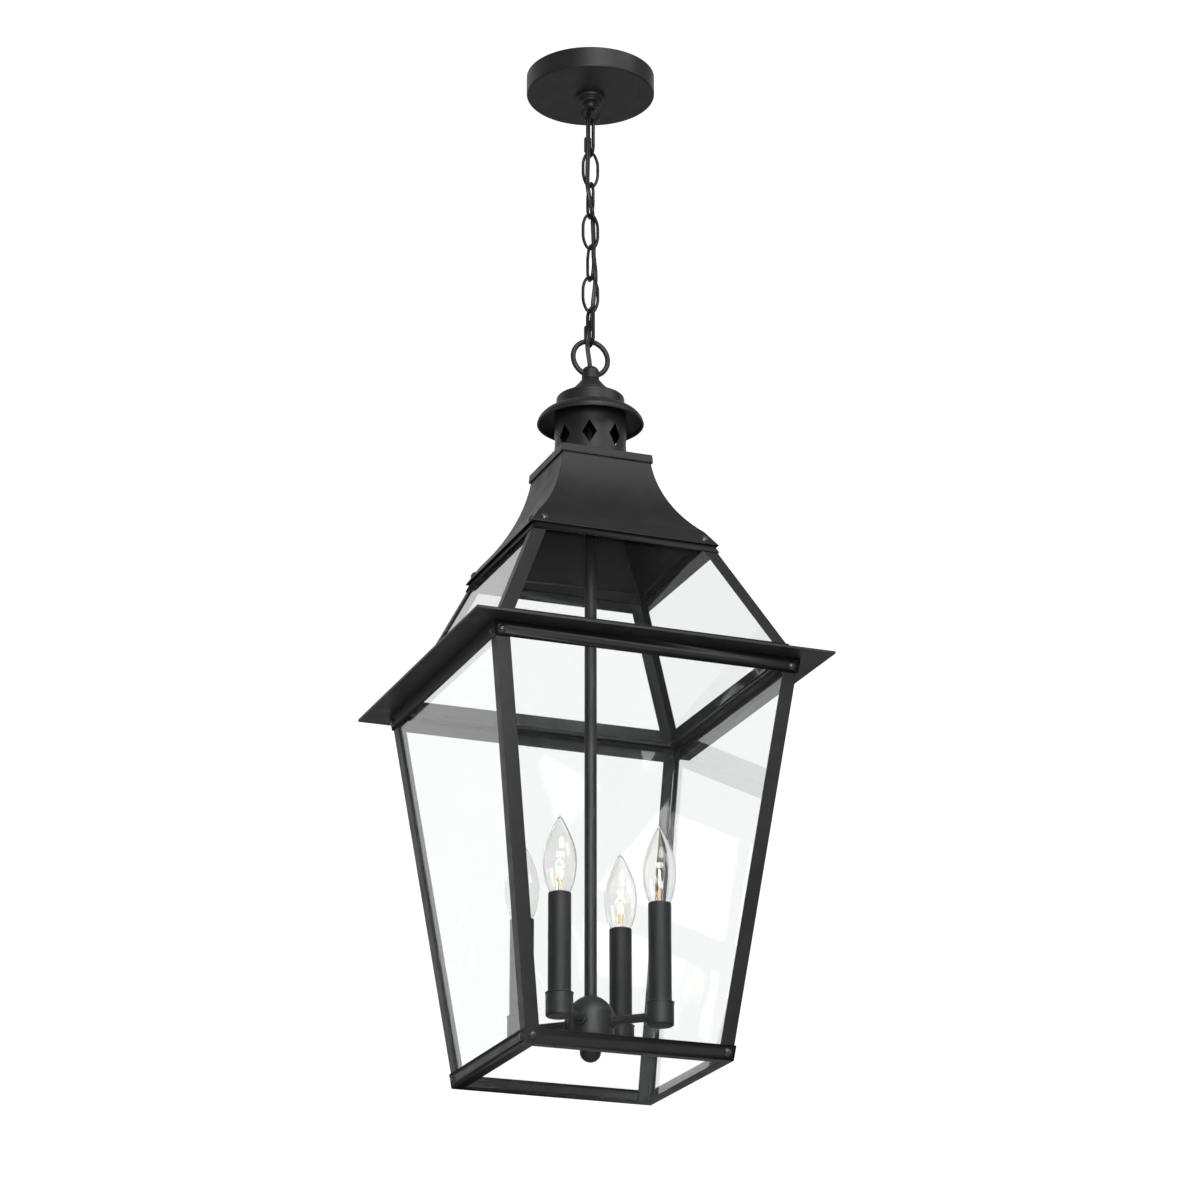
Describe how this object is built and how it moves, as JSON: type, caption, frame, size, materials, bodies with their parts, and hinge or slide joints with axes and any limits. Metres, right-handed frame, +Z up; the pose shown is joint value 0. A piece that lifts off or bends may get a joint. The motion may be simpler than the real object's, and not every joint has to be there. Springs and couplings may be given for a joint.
{
  "type": "hanging lantern",
  "caption": "Four-sided tapered glass lantern with a flared hood and pierced chimney, a candle cluster inside, hung by a link chain from a round ceiling canopy.",
  "frame": {"origin": "on the lantern's axis in the ceiling plane, at the centre of the mounting bar's two slots", "axes": "+Z up into the ceiling, X along the mounting bar, -Y out of the lantern's front face"},
  "size_m": [0.4, 0.4, 1.1693],
  "materials": {
    "black_metal": "satin black powder coat on sheet steel, with small bright wear along folded edges",
    "black_chain": "satin black paint on steel wire",
    "black_screw": "black oxide round heads, a little shinier than the frame",
    "sleeve_black": "smooth painted candle tube",
    "zinc_steel": "zinc-plated mounting hardware",
    "green_screw": "green ground screw",
    "cord_black": "black flexible jacket",
    "holder_black": "moulded lamp holder",
    "clear_glass": "clear float glass with a faint green edge",
    "bulb_glass": "clear blown glass over a brass cap and warm filament"
  },
  "bodies": {
    "ceiling_mount": {"canopy": "black_metal", "crossbar": "zinc_steel", "ground_screw": "green_screw", "nipple": "zinc_steel", "nipple_nuts": "zinc_steel", "canopy_collar": "black_metal", "canopy_loop": "black_metal", "supply_cord": "cord_black"},
    "upper_quick_link": {"quick_link_upper": "black_chain"},
    "upper_quick_nut": {"quick_link_upper_nut": "black_chain"},
    "link_1": {"chain_link_1": "black_chain"},
    "link_2": {"chain_link_2": "black_chain"},
    "link_3": {"chain_link_3": "black_chain"},
    "link_4": {"chain_link_4": "black_chain"},
    "link_5": {"chain_link_5": "black_chain"},
    "lower_quick_link": {"quick_link_lower": "black_chain"},
    "lower_quick_nut": {"quick_link_lower_nut": "black_chain"},
    "bulb_front_left": {"bulb_front_left": "bulb_glass"},
    "bulb_front_right": {"bulb_front_right": "bulb_glass"},
    "bulb_back_right": {"bulb_back_right": "bulb_glass"},
    "bulb_back_left": {"bulb_back_left": "bulb_glass"},
    "lantern": {"fixture_loop": "black_metal", "loop_seat": "black_metal", "vent_dome": "black_metal", "vent_brim": "black_metal", "vent_chimney": "black_metal", "roof_collar": "black_metal", "roof_hood": "black_metal", "roof_rails": "black_metal", "eave_plate": "black_metal", "body_top_rails": "black_metal", "body_bottom_rails": "black_metal", "stem": "black_metal", "hub_body": "black_metal", "hub_cover": "black_metal", "finial": "black_metal", "candle_arms": "black_metal", "arm_rings": "black_metal", "candle_cups": "black_metal", "roof_rafter_front_left": "black_metal", "roof_rafter_front_right": "black_metal", "roof_rafter_back_right": "black_metal", "roof_rafter_back_left": "black_metal", "corner_post_front_left": "black_metal", "corner_post_front_right": "black_metal", "corner_post_back_right": "black_metal", "corner_post_back_left": "black_metal", "frame_screws": "black_screw", "candle_sleeves": "sleeve_black", "stem_nuts": "zinc_steel", "stem_wires": "cord_black", "sockets": "holder_black", "roof_glass_front": "clear_glass", "roof_glass_right": "clear_glass", "roof_glass_back": "clear_glass", "roof_glass_left": "clear_glass", "body_glass_front": "clear_glass", "body_glass_right": "clear_glass", "body_glass_back": "clear_glass", "body_glass_left": "clear_glass"}
  },
  "joints": [
    {"name": "upper_quick_link_swing", "type": "hinge", "parent": "ceiling_mount", "child": "upper_quick_link", "pos_m": [0, 0, -0.0593], "axis": [1, 0, 0], "range_deg": [-12, 12], "deforming": ["supply_cord"]},
    {"name": "link_1_swing", "type": "hinge", "parent": "upper_quick_link", "child": "link_1", "pos_m": [0, 0, -0.10076], "axis": [0, 1, 0], "range_deg": [-12, 12], "deforming": ["supply_cord"]},
    {"name": "link_2_swing", "type": "hinge", "parent": "link_1", "child": "link_2", "pos_m": [0, 0, -0.13967], "axis": [1, 0, 0], "range_deg": [-12, 12], "deforming": ["supply_cord"]},
    {"name": "link_3_swing", "type": "hinge", "parent": "link_2", "child": "link_3", "pos_m": [0, 0, -0.17883], "axis": [0, 1, 0], "range_deg": [-12, 12], "deforming": ["supply_cord"]},
    {"name": "link_4_swing", "type": "hinge", "parent": "link_3", "child": "link_4", "pos_m": [0, 0, -0.21799], "axis": [1, 0, 0], "range_deg": [-12, 12], "deforming": ["supply_cord"]},
    {"name": "link_5_swing", "type": "hinge", "parent": "link_4", "child": "link_5", "pos_m": [0, 0, -0.25715], "axis": [0, 1, 0], "range_deg": [-12, 12], "deforming": ["supply_cord"]},
    {"name": "lower_quick_link_swing", "type": "hinge", "parent": "link_5", "child": "lower_quick_link", "pos_m": [0, 0, -0.29631], "axis": [1, 0, 0], "range_deg": [-12, 12], "deforming": ["supply_cord"]},
    {"name": "lantern_swing", "type": "hinge", "parent": "lower_quick_link", "child": "lantern", "pos_m": [0, 0, -0.33802], "axis": [0, 1, 0], "range_deg": [-12, 12], "deforming": ["supply_cord"]},
    {"name": "upper_quick_nut_open", "type": "slide", "parent": "upper_quick_link", "child": "upper_quick_nut", "axis": [0, 0, 1], "range_m": [0, 0.0085]},
    {"name": "lower_quick_nut_open", "type": "slide", "parent": "lower_quick_link", "child": "lower_quick_nut", "axis": [0, 0, 1], "range_m": [0, 0.0085]},
    {"name": "bulb_front_left_out", "type": "slide", "parent": "lantern", "child": "bulb_front_left", "axis": [0, 0, 1], "range_m": [0, 0.02]},
    {"name": "bulb_front_right_out", "type": "slide", "parent": "lantern", "child": "bulb_front_right", "axis": [0, 0, 1], "range_m": [0, 0.02]},
    {"name": "bulb_back_right_out", "type": "slide", "parent": "lantern", "child": "bulb_back_right", "axis": [0, 0, 1], "range_m": [0, 0.02]},
    {"name": "bulb_back_left_out", "type": "slide", "parent": "lantern", "child": "bulb_back_left", "axis": [0, 0, 1], "range_m": [0, 0.02]}
  ]
}
